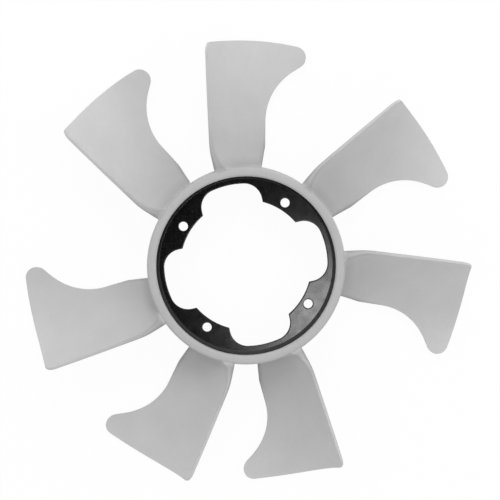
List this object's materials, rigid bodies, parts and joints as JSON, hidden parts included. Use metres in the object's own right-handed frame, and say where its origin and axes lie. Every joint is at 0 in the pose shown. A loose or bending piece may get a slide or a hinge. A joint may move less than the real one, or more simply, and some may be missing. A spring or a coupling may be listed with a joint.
{
  "type": "axial fan impeller",
  "caption": "Engine cooling fan with a moulded ring hub, unevenly spaced cambered blades with swept toes, and a pressed steel insert that bolts to a fan clutch.",
  "frame": {"origin": "on the fan's axis, in the plane of the insert's front face, where the fan clutch is bolted on", "axes": "+Z along the fan's axis, out of the front that the picture shows; +X to the right and +Y up in the picture"},
  "size_m": [0.4299, 0.4302, 0.0513],
  "materials": {
    "nylon": "light grey glass-filled nylon, satin as moulded",
    "black_steel": "black paint, semi-gloss"
  },
  "bodies": {
    "root": {"fan_moulding": "nylon", "steel_insert": "black_steel"}
  },
  "joints": []
}
